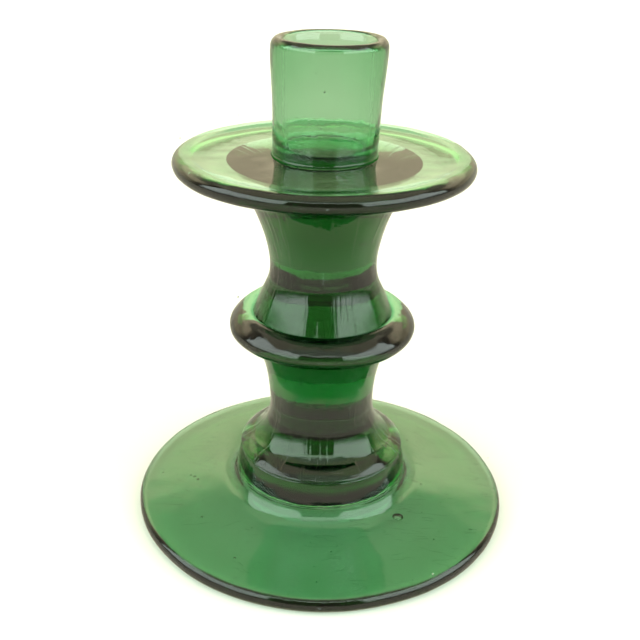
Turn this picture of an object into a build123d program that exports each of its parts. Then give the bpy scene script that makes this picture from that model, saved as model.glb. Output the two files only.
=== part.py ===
from build123d import *
import os

# A glass candlestick, hot-worked from seven gathers of glass that are fused end to end.
# Every gather is turned about Z. Units are millimetres, +Z is up, and the origin is the centre of
# the circle on which the foot rests. Outlines are drawn as (radius, height).

# Heights of the joints between the gathers, from the table up
FOOT_JOINT = 12.0
CUSHION_JOINT = 19.5
RING_BOTTOM_JOINT = 54.6
RING_TOP_JOINT = 62.8
PAN_BOTTOM_JOINT = 103.4
PAN_TOP_JOINT = 107.5
SOCKET_TOP = 137.5

# Foot: a wide disc with a rounded rim and a short steep neck in the middle. Underneath, a wide
# hollow follows the top, and rises steeply inside the neck to a nearly flat ceiling.
FOOT_RADIUS = 55.0
FOOT_RIM_THICKNESS = 4.9
REST_INNER_RADIUS = 48.5
NECK_BOTTOM = (25.8, 9.0)
NECK_FILLET_END = (27.6, 7.4)
FOOT_SHOULDER = (40.0, 5.75)
HOLLOW_HEIGHT = 11.4
HOLLOW_CEILING_EDGE = (15.0, 11.2)
HOLLOW_SHOULDER = (19.5, 10.4)
HOLLOW_WALL_TOP = (21.6, 9.0)
HOLLOW_WALL_BOTTOM = (23.4, 5.8)
HOLLOW_SKIRT = (29.0, 2.7)

# Foot cushion: a thick disc between the foot and the lower stem
CUSHION_BOTTOM_RADIUS = 25.4
CUSHION_TOP_RADIUS = 24.2
CUSHION_BULGE = 0.3

# Lower stem: a waisted column that spreads into a thin rounded lip over the cushion
LIP_BOTTOM_RADIUS = 23.5
LIP_EDGE = (24.0, 20.0)
LIP_TOP = (23.5, 20.45)
LOWER_WAIST = (15.1, 34.5)
LOWER_STEM_TOP_RADIUS = 19.4

# Middle ring: a heavy ring whose section is an ellipse
RING_RADIUS = 26.3
RING_SECTION_WIDTH = 9.3
RING_SECTION_HEIGHT = 4.75
RING_SECTION_HALF_ANGLE = 69

# Upper stem: a waisted column that flares widely under the drip pan
UPPER_STEM_BOTTOM_RADIUS = 19.6
UPPER_WAIST = (14.9, 78.8)
UPPER_STEM_TOP_RADIUS = 25.9

# Drip pan: a flat disc with a low raised rim, whose section is an ellipse
PAN_RADIUS = 40.1
RIM_SECTION_WIDTH = 2.9
RIM_SECTION_HEIGHT = 2.45
RIM_CENTRE_HEIGHT = 105.65
PAN_DISH = (29.0, 106.8)

# Candle socket: a tube for a 22 mm candle, straight at the top, that narrows towards its floor
SOCKET_BASE_RADIUS = 14.3
SOCKET_WAIST = (14.1, 114.0)
SOCKET_LIP_RADIUS = 14.95
LIP_HEIGHT = 3.4
LIP_CREST_RADIUS = 13.35
MOUTH_RADIUS = 11.75
MOUTH_DEPTH = 0.9
BORE_RADIUS = 11.3
BORE_TOP = 135.3
BORE_BOTTOM = 119.5
TAPER_MIDDLE = (9.8, 113.5)
TAPER_END = (8.3, 109.2)
CAVITY_FLOOR = 108.3

# Fire-polished edges: each side of a joint is rounded by this much, which leaves a fine groove
GROOVE_RADIUS = 0.4


def turned(outline):
    """Solid of revolution about Z of a closed outline of (radius, height) edges."""
    return revolve(Plane.XZ * make_face(outline), Axis.Z)


def outer_rim(gather, height):
    """The widest circular edge of a gather at a height."""
    circles = gather.edges().filter_by(GeomType.CIRCLE)
    return circles.filter_by_position(Axis.Z, height, height).sort_by(SortBy.RADIUS)[-1]


def round_joint_edges(gather, *heights):
    """Rounds the outer edge of a gather at each joint height."""
    return fillet([outer_rim(gather, height) for height in heights], GROOVE_RADIUS)


def foot():
    """Wide foot: flat resting ring, rounded rim, top with a steep neck, hollow underneath."""
    rim_radius = FOOT_RADIUS - FOOT_RIM_THICKNESS / 2
    rim = ThreePointArc(
        (rim_radius, 0),
        (FOOT_RADIUS, FOOT_RIM_THICKNESS / 2),
        (rim_radius, FOOT_RIM_THICKNESS),
    )
    top = Spline(
        [(rim_radius, FOOT_RIM_THICKNESS), FOOT_SHOULDER, NECK_FILLET_END],
        tangents=[(-1, 0.04), (-1, 0.2)],
    )
    neck_fillet = Spline([NECK_FILLET_END, NECK_BOTTOM], tangents=[(-1, 0.2), (-0.13, 1)])
    neck = Line(NECK_BOTTOM, (CUSHION_BOTTOM_RADIUS, FOOT_JOINT))
    hollow = Spline(
        [
            (0, HOLLOW_HEIGHT),
            HOLLOW_CEILING_EDGE,
            HOLLOW_SHOULDER,
            HOLLOW_WALL_TOP,
            HOLLOW_WALL_BOTTOM,
            HOLLOW_SKIRT,
            (REST_INNER_RADIUS, 0),
        ],
        tangents=[(1, 0), (1, -0.06)],
    )
    joint_face = Polyline((CUSHION_BOTTOM_RADIUS, FOOT_JOINT), (0, FOOT_JOINT), (0, HOLLOW_HEIGHT))
    resting_ring = Line((REST_INNER_RADIUS, 0), (rim_radius, 0))
    return turned(resting_ring + rim + top + neck_fillet + neck + joint_face + hollow)


def foot_cushion():
    """Thick disc whose side leans in towards the stem and bulges a little."""
    bottom_edge = (CUSHION_BOTTOM_RADIUS, FOOT_JOINT)
    top_edge = (CUSHION_TOP_RADIUS, CUSHION_JOINT)
    middle = (
        (CUSHION_BOTTOM_RADIUS + CUSHION_TOP_RADIUS) / 2 + CUSHION_BULGE,
        (FOOT_JOINT + CUSHION_JOINT) / 2,
    )
    side = ThreePointArc(bottom_edge, middle, top_edge)
    faces = Polyline(top_edge, (0, CUSHION_JOINT), (0, FOOT_JOINT), bottom_edge)
    return round_joint_edges(turned(side + faces), CUSHION_JOINT)


def lower_stem():
    """Waisted column that spreads at its bottom into a thin rounded lip."""
    lip_bottom = (LIP_BOTTOM_RADIUS, CUSHION_JOINT)
    lip = ThreePointArc(lip_bottom, LIP_EDGE, LIP_TOP)
    top_edge = (LOWER_STEM_TOP_RADIUS, RING_BOTTOM_JOINT)
    side = Spline(
        [LIP_TOP, (20.6, 22.0), (17.8, 24.8), LOWER_WAIST, (15.9, 43.3), top_edge],
        tangents=[(-1, 0.4), (0.35, 1)],
    )
    faces = Polyline(top_edge, (0, RING_BOTTOM_JOINT), (0, CUSHION_JOINT), lip_bottom)
    return round_joint_edges(turned(lip + side + faces), RING_BOTTOM_JOINT)


def middle_ring():
    """Heavy ring: an elliptical section that dips to a flat joint face above and below."""
    centre_height = (RING_BOTTOM_JOINT + RING_TOP_JOINT) / 2
    centre_radius = RING_RADIUS - RING_SECTION_WIDTH
    section = EllipticalCenterArc(
        (centre_radius, centre_height),
        RING_SECTION_WIDTH,
        RING_SECTION_HEIGHT,
        start_angle=-RING_SECTION_HALF_ANGLE,
        arc_size=2 * RING_SECTION_HALF_ANGLE,
    )
    faces = Polyline(
        section @ 1,
        (UPPER_STEM_BOTTOM_RADIUS, RING_TOP_JOINT),
        (0, RING_TOP_JOINT),
        (0, RING_BOTTOM_JOINT),
        (LOWER_STEM_TOP_RADIUS, RING_BOTTOM_JOINT),
        section @ 0,
    )
    return turned(section + faces)


def upper_stem():
    """Waisted column that flares widely under the drip pan."""
    bottom_edge = (UPPER_STEM_BOTTOM_RADIUS, RING_TOP_JOINT)
    top_edge = (UPPER_STEM_TOP_RADIUS, PAN_BOTTOM_JOINT)
    side = Spline([bottom_edge, (17.9, 67.0), UPPER_WAIST, (16.2, 85.5), (21.0, 97.0), top_edge])
    faces = Polyline(top_edge, (0, PAN_BOTTOM_JOINT), (0, RING_TOP_JOINT), bottom_edge)
    return round_joint_edges(turned(side + faces), RING_TOP_JOINT)


def drip_pan():
    """Round pan: flat underside, raised rounded rim, and a shallow dish round the socket."""
    rim_centre_radius = PAN_RADIUS - RIM_SECTION_WIDTH
    rim = EllipticalCenterArc(
        (rim_centre_radius, RIM_CENTRE_HEIGHT),
        RIM_SECTION_WIDTH,
        RIM_SECTION_HEIGHT,
        start_angle=-90,
        arc_size=180,
    )
    socket_seat = (SOCKET_BASE_RADIUS, PAN_TOP_JOINT)
    dish = Spline([rim @ 1, (33.6, 107.3), PAN_DISH, socket_seat], tangents=[(-1, 0), (-1, 0.06)])
    faces = Polyline(
        socket_seat,
        (0, PAN_TOP_JOINT),
        (0, PAN_BOTTOM_JOINT),
        (UPPER_STEM_TOP_RADIUS, PAN_BOTTOM_JOINT),
        rim @ 0,
    )
    return turned(rim + dish + faces)


def candle_socket():
    """Tube with a rounded lip and a straight bore that narrows to a floor near the pan."""
    base_edge = (SOCKET_BASE_RADIUS, PAN_TOP_JOINT)
    lip_base = (SOCKET_LIP_RADIUS, SOCKET_TOP - LIP_HEIGHT)
    outside = Spline([base_edge, SOCKET_WAIST, lip_base], tangents=[(-0.06, 1), (0.02, 1)])
    lip = Spline(
        [
            lip_base,
            (LIP_CREST_RADIUS, SOCKET_TOP),
            (MOUTH_RADIUS, SOCKET_TOP - MOUTH_DEPTH),
            (BORE_RADIUS, BORE_TOP),
        ],
        tangents=[(0.02, 1), (0, -1)],
    )
    bore = Line((BORE_RADIUS, BORE_TOP), (BORE_RADIUS, BORE_BOTTOM))
    taper = Spline([(BORE_RADIUS, BORE_BOTTOM), TAPER_MIDDLE, TAPER_END], tangents=[(0, -1), (-0.5, -1)])
    cavity_floor = Spline([TAPER_END, (0, CAVITY_FLOOR)], tangents=[(-0.5, -1), (-1, 0)])
    faces = Polyline((0, CAVITY_FLOOR), (0, PAN_TOP_JOINT), base_edge)
    hole = bore + taper + cavity_floor
    return round_joint_edges(turned(outside + lip + hole + faces), PAN_TOP_JOINT)


GATHERS = {
    "foot": foot,
    "foot_cushion": foot_cushion,
    "lower_stem": lower_stem,
    "middle_ring": middle_ring,
    "upper_stem": upper_stem,
    "drip_pan": drip_pan,
    "candle_socket": candle_socket,
}

os.makedirs("parts", exist_ok=True)
for name, make in GATHERS.items():
    export_step(make(), f"parts/{name}.step")
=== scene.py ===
import math
import random

import bmesh
import bpy
from mathutils import Matrix, Vector, noise


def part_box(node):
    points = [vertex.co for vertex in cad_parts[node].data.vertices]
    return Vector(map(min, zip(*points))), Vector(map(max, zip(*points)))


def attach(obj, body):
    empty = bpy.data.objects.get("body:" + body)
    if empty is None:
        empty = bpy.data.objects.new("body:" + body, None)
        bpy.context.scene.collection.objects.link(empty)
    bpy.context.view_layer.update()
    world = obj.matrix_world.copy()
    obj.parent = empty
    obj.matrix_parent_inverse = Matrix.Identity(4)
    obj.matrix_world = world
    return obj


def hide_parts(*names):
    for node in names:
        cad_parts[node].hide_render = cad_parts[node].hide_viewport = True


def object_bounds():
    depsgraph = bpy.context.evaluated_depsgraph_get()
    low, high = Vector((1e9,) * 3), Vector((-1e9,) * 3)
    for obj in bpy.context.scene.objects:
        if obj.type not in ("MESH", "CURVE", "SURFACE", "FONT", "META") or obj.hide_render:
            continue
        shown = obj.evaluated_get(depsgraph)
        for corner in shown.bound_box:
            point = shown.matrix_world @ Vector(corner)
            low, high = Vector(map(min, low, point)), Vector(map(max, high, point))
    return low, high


# The green glass candlestick. Seven closed pieces of glass, one for each gather of the real object,
# are turned as meshes about Z, given the small faults of hand work, and made of one tinted glass.
# Outlines are drawn in millimetres as (radius, height), anticlockwise; everything placed in the scene
# is in metres. An outline is a list of stretches, and the straight line from one stretch to the next
# is a joint face, where two gathers are fused.

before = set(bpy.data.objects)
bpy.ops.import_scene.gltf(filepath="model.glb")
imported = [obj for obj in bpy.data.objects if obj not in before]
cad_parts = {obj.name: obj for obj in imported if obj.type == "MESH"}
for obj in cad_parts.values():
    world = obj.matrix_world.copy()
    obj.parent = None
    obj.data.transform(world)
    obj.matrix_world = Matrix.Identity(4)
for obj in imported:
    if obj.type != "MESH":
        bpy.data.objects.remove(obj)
CAD_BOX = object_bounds()
MM = 0.001


def heights(node):
    """Lowest and highest point of a CAD node, in millimetres."""
    low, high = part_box(node)
    return low.z / MM, high.z / MM


def radius(node):
    """Largest radius of a CAD node, in millimetres."""
    low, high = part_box(node)
    return (high.x - low.x) / 2 / MM


# Heights of the joints between the gathers
FOOT_JOINT, CUSHION_JOINT = heights("foot_cushion")
RING_BOTTOM_JOINT = heights("lower_stem")[1]
RING_TOP_JOINT = heights("upper_stem")[0]
PAN_BOTTOM_JOINT = heights("upper_stem")[1]
PAN_TOP_JOINT, SOCKET_TOP = heights("candle_socket")
FOOT_RADIUS = radius("foot")
RING_RADIUS = radius("middle_ring")
PAN_RADIUS = radius("drip_pan")

# Two gathers stop this far short of their joint, so that their faces never coincide
JOINT_GAP = 0.02
SEGMENTS = 224
SHARP_EDGE = math.radians(40)
# Blender's noise starts from the clock unless it is given a seed
NOISE_SEED = 1794898563

# Hand work: slow swells and finer ripples of the surface, as (size, height, place in the noise)
SWELL = (19, 0.22, Vector((3, 8, 1)))
RIPPLE = (6, 0.055, Vector((7, 2, 5)))
# The surface moves up and down by nothing at the table, and fully from this height on
SETTLED_HEIGHT = 4
# How far the stem and the socket lean to the right, for each millimetre of height
STEM_LEAN = -0.0115
SOCKET_LEAN = 0.036

# Small bubbles: half width, how many times longer than wide, depth under the surface, and the least
# height between a bubble and a joint
SEED_HALF_WIDTH = (0.10, 0.26)
SEED_STRETCH = (1, 1.8)
SEED_DEPTH = (0.9, 1.7)
SEED_CLEARANCE = 1.2

# Glass
GLASS_IOR = 1.5
MARK_DEPTH = 0.16 * MM
WEAR_PATCH = 7
WEAR_STARTS = 0.5
WEAR_FULL = 0.8
WORN_ROUGHNESS = 0.05
TINT_DENSITY = 190.0
TINT_COLOR = (0.0, 0.59, 0.184)

# Camera: its place in metres, its tilt, and its lens and sensor in millimetres
CAMERA_PLACE = (0, -0.24696, 0.17497)
CAMERA_PITCH = math.radians(25.14)
CAMERA_YAW = math.radians(-0.29)
CAMERA_ROLL = math.radians(1.36)
CAMERA_LENS = 53.78
CAMERA_SENSOR = 36

# Stage sheets: half width in metres, and how far each lies below the object, in millimetres
UNDER_SHEET = (0.17, 0.02)
FLOOR_SHEET = (1.5, 0.04)


# ---------------------------------------------------------------- outlines

def smooth(points, steps=6):
    """A smooth curve through points (Catmull-Rom)."""
    first = [2 * a - b for a, b in zip(points[0], points[1])]
    last = [2 * a - b for a, b in zip(points[-1], points[-2])]
    ends = [first, *points, last]
    curve = []
    for i in range(len(points) - 1):
        p0, p1, p2, p3 = ends[i:i + 4]
        for k in range(steps):
            t = k / steps
            curve.append(tuple(
                0.5 * (
                    2 * b
                    + (c - a) * t
                    + (2 * a - 5 * b + 4 * c - d) * t**2
                    + (3 * b - a - 3 * c + d) * t**3
                )
                for a, b, c, d in zip(p0, p1, p2, p3)
            ))
    curve.append(tuple(points[-1]))
    return curve


def arc(centre, width, height, start, end, steps):
    """Part of an ellipse, from one angle to another, in degrees."""
    angles = [math.radians(start + (end - start) * i / steps) for i in range(steps + 1)]
    return [(centre[0] + width * math.cos(a), centre[1] + height * math.sin(a)) for a in angles]


def above(base, points):
    """Points whose heights are measured from a base height."""
    return [(r, base + z) for r, z in points]


def foot_outline():
    thickness = 4.9
    half = thickness / 2
    rim_centre = (FOOT_RADIUS - half, half)
    rim = arc(rim_centre, half, half, -90, 90, 20)
    top = smooth([
        (rim_centre[0], thickness), (42, 5.6), (36, 6.2), (31.8, 6.85), (29.4, 7.4),
        (28.0, 8.1), (26.9, 9.1), (26.0, 10.15), (25.5, 11.0), (25.4, FOOT_JOINT),
    ], 6)
    hollow = smooth([
        (0, 11.4), (8, 11.35), (15, 11.2), (19.5, 10.4), (21.6, 9.0), (22.6, 7.2), (23.4, 5.8),
        (25.2, 4.3), (29, 2.7), (36, 1.4), (43, 0.5), (48.5, 0),
    ], 6)
    return [hollow + [(50.5, 0)] + rim + top[1:], [(0, FOOT_JOINT)]]


def foot_cushion_outline():
    side = smooth([
        (25.4, FOOT_JOINT), (25.0, FOOT_JOINT + 2.5), (24.5, FOOT_JOINT + 5.0),
        (24.05, CUSHION_JOINT - 0.5), (23.7, CUSHION_JOINT),
    ], 5)
    return [[(0, FOOT_JOINT)], side, [(0, CUSHION_JOINT)]]


def lower_stem_outline():
    side = above(CUSHION_JOINT, [
        (23.7, 0.0), (24.1, 0.5), (23.5, 1.2), (22.5, 2.1), (21.3, 2.9), (19.9, 3.6), (18.5, 4.9),
        (17.4, 6.3), (16.4, 8.2), (15.5, 10.9), (15.1, 13.9), (15.15, 17.1), (15.45, 20.5),
        (15.95, 24.0), (16.75, 27.5), (17.85, 31.0),
    ])
    side.append((19.4, RING_BOTTOM_JOINT))
    return [[(0, CUSHION_JOINT)], smooth(side, 7), [(0, RING_BOTTOM_JOINT)]]


def middle_ring_outline():
    width, half_height = 9.3, 4.75
    centre = (RING_RADIUS - width, (RING_BOTTOM_JOINT + RING_TOP_JOINT) / 2)
    under = arc(centre, width, half_height, -69, 0, 20)
    shoulder = smooth([under[-1]] + above(RING_TOP_JOINT, [
        (26.2, -3.4), (25.8, -2.55), (25.1, -1.7), (24.2, -0.8), (23.3, -0.05), (22.3, 0.45),
        (21.2, 0.65), (20.3, 0.5), (19.6, 0.0),
    ]), 4)
    side = [(19.4, RING_BOTTOM_JOINT)] + under + shoulder[1:]
    return [[(0, RING_BOTTOM_JOINT)], side, [(0, RING_TOP_JOINT)]]


def upper_stem_outline():
    side = above(RING_TOP_JOINT, [
        (19.6, 0.0), (17.9, 4.2), (15.3, 10.3), (14.9, 16.0), (16.2, 22.7), (18.4, 29.0), (21.0, 34.2),
    ])
    side.append((25.9, PAN_BOTTOM_JOINT))
    return [[(0, RING_TOP_JOINT)], smooth(side, 8), [(0, PAN_BOTTOM_JOINT)]]


def drip_pan_outline():
    width, half_height = 2.9, 2.45
    rim = arc((PAN_RADIUS - width, PAN_TOP_JOINT - 1.85), width, half_height, -90, 90, 24)
    dish = smooth([rim[-1]] + above(PAN_TOP_JOINT, [
        (35.6, 0.4), (34.0, -0.1), (31, -0.6), (27, -0.7), (20, -0.5), (14.3, 0.0),
    ]), 5)
    side = [(25.9, PAN_BOTTOM_JOINT), (34, PAN_BOTTOM_JOINT - 0.2)] + rim + dish[1:]
    return [[(0, PAN_BOTTOM_JOINT)], side, [(0, PAN_TOP_JOINT)]]


def candle_socket_outline():
    outside = smooth(above(PAN_TOP_JOINT, [
        (13.9, 0.0), (14.2, 0.35), (14.0, 1.1), (14.05, 4.5), (14.2, 13.5), (14.75, 22.5),
        (14.95, 26.6),
    ]), 6)
    lip = smooth(above(SOCKET_TOP, [
        (14.95, -3.4), (14.85, -1.5), (14.1, -0.3), (13.3, 0.0), (12.3, -0.25), (11.75, -1.0),
        (11.3, -2.3),
    ]), 6)
    bore = above(PAN_TOP_JOINT, [(11.3, 26.5), (11.3, 19.5)])
    hollow_end = smooth(above(PAN_TOP_JOINT, [
        (11.3, 12.0), (11.2, 8.0), (11.0, 4.6), (10.5, 2.4), (9.2, 1.3), (6.0, 0.9), (0, 0.8),
    ]), 6)
    return [[(0, PAN_TOP_JOINT)], outside + lip[1:] + bore + hollow_end]


# ---------------------------------------------------------------- meshes

def unevenness(point, size, height, place):
    """One layer of smooth unevenness at a point."""
    return noise.noise_vector(point / size + place) * height


def hand_worked(point):
    """Moves a point as hand work did. Both sides of a joint move alike, and the foot stands flat."""
    x, y, z = point
    moved = unevenness(point, *SWELL) + unevenness(point, *RIPPLE)
    moved.z *= min(1, z / SETTLED_HEIGHT)
    stem_lean = STEM_LEAN * max(0, z - FOOT_JOINT)
    socket_lean = SOCKET_LEAN * max(0, z - PAN_TOP_JOINT)
    return Vector((x + stem_lean + socket_lean, y, z)) + moved


def turned_profile(stretches):
    """One profile from the stretches of an outline, and the places in it where a joint face starts."""
    profile = [point for stretch in stretches for point in stretch]
    joints = []
    for stretch in stretches[:-1]:
        joints.append((joints[-1] if joints else -1) + len(stretch))
    for start in joints:
        inward = math.copysign(JOINT_GAP, profile[start + 1][0] - profile[start][0])
        for i in (start, start + 1):
            profile[i] = (profile[i][0], profile[i][1] + inward)
    return profile, joints


def seed_places(profile, joints, count, draw):
    """Random places for small bubbles, a little under the outside of a piece and clear of its joints."""
    lengths = [
        0 if i in joints else a[0] * math.dist(a, b)
        for i, (a, b) in enumerate(zip(profile, profile[1:]))
    ]
    places = []
    while len(places) < count:
        i = draw.choices(range(len(lengths)), lengths)[0]
        (r, z), (next_r, next_z) = profile[i:i + 2]
        length = math.dist((r, z), (next_r, next_z))
        depth = draw.uniform(*SEED_DEPTH)
        r -= depth * (next_z - z) / length
        z += depth * (next_r - r) / length
        if all(abs(z - profile[k][1]) > SEED_CLEARANCE for k in joints):
            angle = draw.uniform(0, 2 * math.pi)
            places.append(Vector((r * math.cos(angle), r * math.sin(angle), z)))
    return places


def add_bubble(mesh, centre, half_size, layer):
    """A small closed hollow inside the glass, with its faces turned inwards."""
    scale = Matrix.Diagonal((*(s * MM for s in half_size), 1))
    place = Matrix.Translation(hand_worked(Vector(centre)) * MM) @ scale
    made = bmesh.ops.create_icosphere(mesh, subdivisions=3, radius=1, matrix=place)
    faces = {face for vert in made["verts"] for face in vert.link_faces}
    bmesh.ops.reverse_faces(mesh, faces=list(faces))
    for face in faces:
        face.smooth = True
        face[layer] = 0.0


def add_turned_skin(mesh, profile, joints, layer):
    """The outside of a piece: a ring of points for each point of its profile, joined by faces."""
    rings = []
    for r, z in profile:
        count = 1 if r == 0 else SEGMENTS
        angles = [2 * math.pi * i / SEGMENTS for i in range(count)]
        points = [Vector((r * math.cos(a), r * math.sin(a), z)) for a in angles]
        rings.append([mesh.verts.new(hand_worked(point) * MM) for point in points])
    for index, (lower, upper) in enumerate(zip(rings, rings[1:])):
        for i in range(SEGMENTS):
            j = (i + 1) % SEGMENTS
            corners = [
                lower[i % len(lower)], lower[j % len(lower)],
                upper[j % len(upper)], upper[i % len(upper)],
            ]
            face = mesh.faces.new(list(dict.fromkeys(corners)))
            face.smooth = True
            face[layer] = 1.0 if index in joints else 0.0
    bmesh.ops.recalc_face_normals(mesh, faces=mesh.faces)


def turn(name, stretches, material, seeds, large_bubbles):
    """A closed piece turned about Z. Its joint faces carry joint = 1, and meet the next piece unseen."""
    profile, joints = turned_profile(stretches)
    mesh = bmesh.new()
    layer = mesh.faces.layers.float.new("joint")
    add_turned_skin(mesh, profile, joints, layer)
    draw = random.Random(name)
    for centre in seed_places(profile, joints, seeds, draw):
        half_width = draw.uniform(*SEED_HALF_WIDTH)
        half_length = half_width * draw.uniform(*SEED_STRETCH)
        add_bubble(mesh, centre, (half_width, half_width, half_length), layer)
    for centre, half_size in large_bubbles:
        add_bubble(mesh, centre, half_size, layer)
    data = bpy.data.meshes.new(name)
    mesh.to_mesh(data)
    mesh.free()
    data.set_sharp_from_angle(angle=SHARP_EDGE)
    data.materials.append(material)
    piece = bpy.data.objects.new(name, data)
    bpy.context.scene.collection.objects.link(piece)
    return piece


# ---------------------------------------------------------------- materials

class NodeBuilder:
    """Adds shader nodes to a tree. A value is a number, a tuple or the output of another node."""

    def __init__(self, tree):
        self.tree = tree

    def node(self, kind):
        return self.tree.nodes.new(kind)

    def link(self, a, b):
        self.tree.links.new(a, b)

    def put(self, value, socket):
        if isinstance(value, bpy.types.NodeSocket):
            self.link(value, socket)
        else:
            socket.default_value = value

    def split(self, vector):
        node = self.node("ShaderNodeSeparateXYZ")
        self.link(vector, node.inputs[0])
        return node.outputs

    def math(self, operation, *values):
        node = self.node("ShaderNodeMath")
        node.operation = operation
        for value, socket in zip(values, node.inputs):
            self.put(value, socket)
        return node.outputs[0]

    def smooth_step(self, value, low, high):
        """0 below low, 1 above high, and a smooth rise between them."""
        node = self.node("ShaderNodeMapRange")
        node.interpolation_type = "SMOOTHSTEP"
        self.put(value, node.inputs["Value"])
        node.inputs["From Min"].default_value = low
        node.inputs["From Max"].default_value = high
        return node.outputs["Result"]


class Marks(NodeBuilder):
    """Height of the fine marks of hand work on a glass surface, as nodes of its material."""

    def __init__(self, tree):
        super().__init__(tree)
        place = self.node("ShaderNodeTexCoord").outputs["Object"]
        self.point = self.vector("SCALE", place, scale=1 / MM)
        self.z = self.split(self.point)["Z"]
        flat = self.vector("MULTIPLY", self.point, (1, 1, 0))
        self.around = self.vector("NORMALIZE", flat)
        self.radius = self.vector("LENGTH", flat)

    def vector(self, operation, a, b=None, scale=None):
        node = self.node("ShaderNodeVectorMath")
        node.operation = operation
        self.put(a, node.inputs[0])
        if b is not None:
            self.put(b, node.inputs[1])
        if scale is not None:
            node.inputs["Scale"].default_value = scale
        return node.outputs["Value" if operation == "LENGTH" else "Vector"]

    def noise(self, place, detail=2.0):
        node = self.node("ShaderNodeTexNoise")
        node.inputs["Scale"].default_value = 1
        node.inputs["Detail"].default_value = detail
        self.link(place, node.inputs["Vector"])
        return node.outputs["Fac"]

    def noise_round(self, turns, across):
        """Noise that changes with the direction from the axis, and with one other value."""
        place = self.vector("SCALE", self.around, scale=turns)
        offset = self.node("ShaderNodeCombineXYZ")
        self.link(across, offset.inputs["Z"])
        return self.noise(self.vector("ADD", place, offset.outputs[0]))

    def drawn_along(self, around, along):
        """Fine lines up a piece: around is how many a turn has, along how fast they change."""
        return self.noise_round(around / (2 * math.pi), self.math("MULTIPLY", self.z, along))

    def turned_rings(self, per_mm):
        """Rings left by turning against a tool, which wander a little from round."""
        wander = 0.5
        return self.noise_round(wander, self.math("MULTIPLY", self.radius, per_mm))

    def ridges(self, height):
        """Only the highest lines of a height, with steep sides."""
        foot, crest = 0.56, 0.64
        return self.smooth_step(height, foot, crest)

    def waves(self, size):
        """Soft unevenness of a surface that was melted smooth."""
        return self.noise(self.vector("SCALE", self.point, scale=1 / size))

    def scratches(self):
        """1 on a few long thin scratches, 0 elsewhere. They follow the middle level of a noise."""
        long_way = (0.09, 0.32, 0.2)
        middle, half_width = 0.5, 0.0012
        patch_scale, patch_level = 0.11, 0.56
        course = self.noise(self.vector("MULTIPLY", self.point, long_way), detail=1.0)
        from_middle = self.math("ABSOLUTE", self.math("SUBTRACT", course, middle))
        line = self.math("LESS_THAN", from_middle, half_width)
        patches = self.noise(self.vector("SCALE", self.point, scale=patch_scale), detail=1.0)
        scratched = self.math("GREATER_THAN", patches, patch_level)
        return self.math("MULTIPLY", line, scratched)

    def sum(self, *weighted):
        """Several heights added up, each with its share of MARK_DEPTH."""
        total = 0.0
        for height, weight in weighted:
            total = self.math("ADD", total, self.math("MULTIPLY", height, weight))
        return total


def stem_marks(marks):
    return marks.sum(
        (marks.ridges(marks.drawn_along(90, 0.05)), 0.35),
        (marks.drawn_along(34, 0.02), 0.3),
        (marks.waves(3), 0.3),
    )


def socket_marks(marks):
    return marks.sum(
        (marks.drawn_along(90, 0.05), 0.25),
        (marks.drawn_along(20, 0.03), 0.3),
        (marks.waves(4), 0.5),
    )


def disc_marks(marks):
    return marks.sum(
        (marks.turned_rings(1.1), 0.1),
        (marks.waves(5), 0.22),
        (marks.scratches(), -0.6),
    )


def ring_marks(marks):
    return marks.sum(
        (marks.waves(4), 0.8),
        (marks.drawn_along(60, 0.6), 0.3),
    )


def green_glass(name, make_marks):
    """Clear glass tinted through its depth. Joint faces have the IOR of nothing, so they don't show."""
    material = bpy.data.materials.new(name)
    material.use_nodes = True
    shader = material.node_tree.nodes["Principled BSDF"]
    output = material.node_tree.nodes["Material Output"]
    shader.inputs["Base Color"].default_value = (1, 1, 1, 1)
    shader.inputs["Transmission Weight"].default_value = 1
    marks = Marks(material.node_tree)
    joint = marks.node("ShaderNodeAttribute")
    joint.attribute_name = "joint"
    ior = marks.node("ShaderNodeMapRange")
    ior.inputs["To Min"].default_value = GLASS_IOR
    ior.inputs["To Max"].default_value = 1.0
    marks.link(joint.outputs["Fac"], ior.inputs["Value"])
    marks.link(ior.outputs["Result"], shader.inputs["IOR"])
    bump = marks.node("ShaderNodeBump")
    bump.inputs["Distance"].default_value = MARK_DEPTH
    marks.link(make_marks(marks), bump.inputs["Height"])
    marks.link(bump.outputs["Normal"], shader.inputs["Normal"])
    wear = marks.node("ShaderNodeMapRange")
    wear.inputs["From Min"].default_value = WEAR_STARTS
    wear.inputs["From Max"].default_value = WEAR_FULL
    wear.inputs["To Max"].default_value = WORN_ROUGHNESS
    marks.link(marks.waves(WEAR_PATCH), wear.inputs["Value"])
    marks.link(wear.outputs["Result"], shader.inputs["Roughness"])
    tint = marks.node("ShaderNodeVolumeAbsorption")
    tint.inputs["Color"].default_value = (*TINT_COLOR, 1)
    tint.inputs["Density"].default_value = TINT_DENSITY
    marks.link(tint.outputs["Volume"], output.inputs["Volume"])
    return material


# ---------------------------------------------------------------- camera, light and floor

def add_camera():
    """Camera at the viewing angle of a person who looks down at the candlestick from close by."""
    data = bpy.data.cameras.new("camera")
    data.sensor_width = CAMERA_SENSOR
    data.lens = CAMERA_LENS
    data.clip_start = 0.01
    camera = bpy.data.objects.new("camera", data)
    bpy.context.scene.collection.objects.link(camera)
    forward = Vector((
        math.cos(CAMERA_PITCH) * math.sin(CAMERA_YAW),
        math.cos(CAMERA_PITCH) * math.cos(CAMERA_YAW),
        -math.sin(CAMERA_PITCH),
    ))
    level = Vector((math.cos(CAMERA_YAW), -math.sin(CAMERA_YAW), 0))
    upward = level.cross(forward)
    right = math.cos(CAMERA_ROLL) * level + math.sin(CAMERA_ROLL) * upward
    up = math.cos(CAMERA_ROLL) * upward - math.sin(CAMERA_ROLL) * level
    place = Matrix((right, up, -forward)).transposed().to_4x4()
    place.translation = CAMERA_PLACE
    camera.matrix_world = place
    bpy.context.scene.camera = camera


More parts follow.
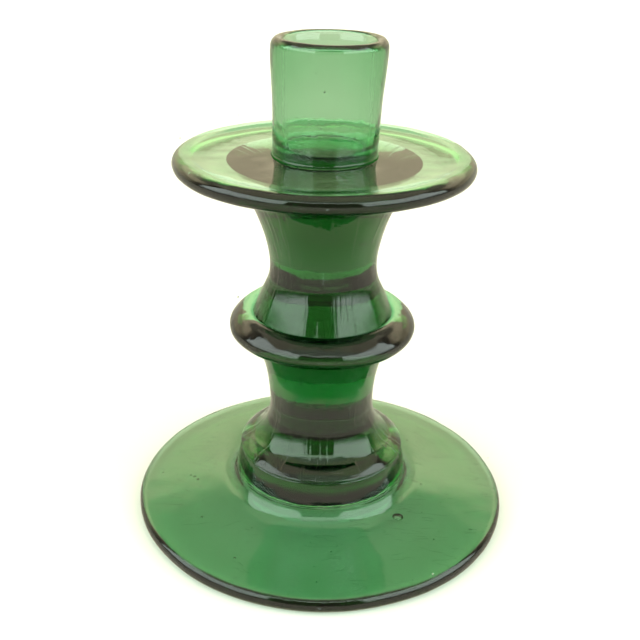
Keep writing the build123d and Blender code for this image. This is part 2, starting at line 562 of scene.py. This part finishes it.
class Studio(NodeBuilder):
    """Builds the world shader: soft lights and walls, each a smooth-edged patch of the sky."""

    def __init__(self):
        world = bpy.data.worlds.new("studio")
        world.use_nodes = True
        bpy.context.scene.world = world
        super().__init__(world.node_tree)
        self.tree.nodes.clear()
        x, y, z = self.split(self.node("ShaderNodeTexCoord").outputs["Generated"])
        forward = self.math("MULTIPLY", y, -1)
        self.elevation = self.degrees("ARCSINE", z)
        self.azimuth = self.degrees("ARCTAN2", x, forward)
        self.turn = self.math("ABSOLUTE", self.azimuth)
        self.pitch = self.degrees("ARCTAN2", z, forward)

    def degrees(self, operation, *values):
        return self.math("MULTIPLY", self.math(operation, *values), 180 / math.pi)

    def rise(self, value, at, width):
        """0 below an angle, 1 above it, with a smooth edge of that width."""
        return self.smooth_step(value, at - width / 2, at + width / 2)

    def fall(self, value, at, width):
        return self.math("SUBTRACT", 1, self.rise(value, at, width))

    def band(self, value, low, high, low_width, high_width):
        """1 between two angles, with smooth edges."""
        return self.both(self.rise(value, low, low_width), self.fall(value, high, high_width))

    def both(self, a, b):
        return self.math("MULTIPLY", a, b)

    def mix(self, factor, a, b):
        node = self.node("ShaderNodeMix")
        node.data_type = "RGBA"
        self.link(factor, node.inputs[0])
        for color, socket in ((a, node.inputs[6]), (b, node.inputs[7])):
            self.put((*color, 1) if isinstance(color, tuple) else color, socket)
        return node.outputs[2]

    def finish(self, color):
        background = self.node("ShaderNodeBackground")
        self.link(color, background.inputs["Color"])
        output = self.node("ShaderNodeOutputWorld")
        self.link(background.outputs[0], output.inputs["Surface"])


def add_studio():
    """Two windows in front with a dim gap between them, lights above, and a warm pale wall behind.

    Angles are in degrees: elevation above the table, azimuth and turn (its size) from the front, and
    pitch from the front over the top. The camera itself sees plain white.
    """
    studio = Studio()
    elevation, turn = studio.elevation, studio.turn
    room = (0.28, 0.25, 0.19)
    ceiling = (0.35, 0.32, 0.25)
    skylight = (1.25, 1.2, 0.85)
    far_ceiling = (0.75, 0.72, 0.5)
    wall = (2.5, 2.2, 1.45)
    low_wall = (1.3, 1.15, 0.75)
    window = (3.9, 4.5, 4.1)
    strip = (2.7, 3.0, 2.7)
    front_light = (1.0, 1.1, 0.9)
    table = (1.2, 1.15, 0.9)
    # Painted shadow: the table seen steeply below, close under the object, is darker and greener, as in
    # the object's shadow
    shadowed_table_near = (0.85, 0.9, 0.6)
    table_behind = (0.9, 0.86, 0.64)
    backdrop = (1, 1, 1)

    behind = studio.rise(turn, 110, 20)
    color = studio.mix(studio.rise(elevation, 5, 10), table_behind, low_wall)
    color = studio.mix(studio.rise(elevation, 21, 8), color, wall)
    color = studio.mix(studio.rise(elevation, 35, 8), color, far_ceiling)
    color = studio.mix(behind, room, color)
    color = studio.mix(studio.rise(elevation, 52, 6), color, ceiling)

    over_windows = studio.both(studio.fall(turn, 100, 8), studio.band(elevation, 50, 76, 3, 4))
    windows = studio.both(studio.band(turn, 27, 100, 3, 4), studio.band(elevation, 9, 48, 18, 4))
    over_gap = studio.both(studio.fall(turn, 30, 6), studio.band(elevation, 43, 52, 2, 2))
    overhead = studio.both(studio.band(studio.pitch, 66, 122, 4, 8), studio.rise(elevation, 45, 6))
    lights = ((over_windows, front_light), (windows, window), (over_gap, strip), (overhead, skylight))
    for place, light in lights:
        color = studio.mix(place, color, light)

    # Painted shadow: the table turns darker towards steep views down, where the object's shadow would lie
    table_in_front = studio.mix(studio.rise(elevation, -45, 20), shadowed_table_near, table)
    all_table = studio.mix(behind, table_in_front, table_behind)
    color = studio.mix(studio.rise(elevation, -1, 2), all_table, color)
    # Painted reflection: a thin bright streak on the table below, where a glossy table would reflect the
    # gap between the windows
    gap_reflection_on_table = studio.both(
        studio.band(studio.azimuth, 1.0, 2.6, 0.3, 0.3),
        studio.band(elevation, -36, -19, 1.5, 2),
    )
    color = studio.mix(gap_reflection_on_table, color, window)
    camera_sees = studio.node("ShaderNodeLightPath").outputs["Is Camera Ray"]
    studio.finish(studio.mix(camera_sees, color, backdrop))


def paper():
    """Plain matt pale card."""
    material = bpy.data.materials.new("paper")
    material.use_nodes = True
    shader = material.node_tree.nodes["Principled BSDF"]
    shader.inputs["Base Color"].default_value = (0.84, 0.83, 0.82, 1)
    shader.inputs["Roughness"].default_value = 0.9
    shader.inputs["Specular IOR Level"].default_value = 0.1
    return material


def add_sheet(name, half_width, depth, material):
    """A flat square sheet of the stage. Reflections show the studio instead of it."""
    corners = [(x * half_width, y * half_width, 0) for x, y in ((-1, -1), (1, -1), (1, 1), (-1, 1))]
    data = bpy.data.meshes.new(name)
    data.from_pydata(corners, [], [(0, 1, 2, 3)])
    data.materials.append(material)
    sheet = bpy.data.objects.new(name, data)
    sheet.visible_glossy = False
    sheet.location.z = CAD_BOX[0][2] - depth * MM
    bpy.context.scene.collection.objects.link(sheet)
    return sheet


def add_floor():
    """Pale floor, and a sheet under the object. Past that sheet, the glass shows the studio behind it."""
    material = paper()
    add_sheet("under_sheet", *UNDER_SHEET, material)
    floor = add_sheet("floor", *FLOOR_SHEET, material)
    floor.visible_transmission = False


# ---------------------------------------------------------------- the scene

def set_color_and_bounces():
    """Plain colour transform, and enough bounces for light to cross every gather."""
    scene = bpy.context.scene
    scene.view_settings.view_transform = "Standard"
    scene.cycles.max_bounces = 32
    scene.cycles.transmission_bounces = 32
    scene.cycles.glossy_bounces = 12


# Node: its outline, its marks, how many small bubbles it has, and its large bubbles (centre, half size)
GATHERS = {
    "foot": (foot_outline, disc_marks, 26, [
        ((22.6, -19.8, 5.2), (1.7, 1.5, 1.0)),
        ((-38.6, -1.1, 4.2), (0.5, 0.35, 0.3)),
        ((-37.4, -2.6, 4.0), (0.4, 0.6, 0.3)),
        ((-39.9, -0.4, 4.1), (0.3, 0.4, 0.25)),
        ((-33.9, -21.1, 4.2), (0.4, 0.35, 0.3)),
        ((43.4, -22.9, 3.9), (0.4, 0.3, 0.3)),
        ((-49.0, 1.7, 3.6), (0.35, 0.35, 0.25)),
        ((-22.7, -38.5, 4.0), (0.4, 0.4, 0.3)),
    ]),
    "foot_cushion": (foot_cushion_outline, ring_marks, 3, []),
    "lower_stem": (lower_stem_outline, stem_marks, 6, []),
    "middle_ring": (middle_ring_outline, ring_marks, 4, []),
    "upper_stem": (upper_stem_outline, stem_marks, 10, []),
    "drip_pan": (drip_pan_outline, disc_marks, 12, []),
    "candle_socket": (candle_socket_outline, socket_marks, 8, []),
}

add_camera()
add_studio()
add_floor()
set_color_and_bounces()
noise.seed_set(NOISE_SEED)
for node, (outline, make_marks, seeds, large_bubbles) in GATHERS.items():
    glass = green_glass("green_glass_" + node, make_marks)
    piece = turn(node + "_glass", outline(), glass, seeds, large_bubbles)
    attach(piece, "root")
    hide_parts(node)
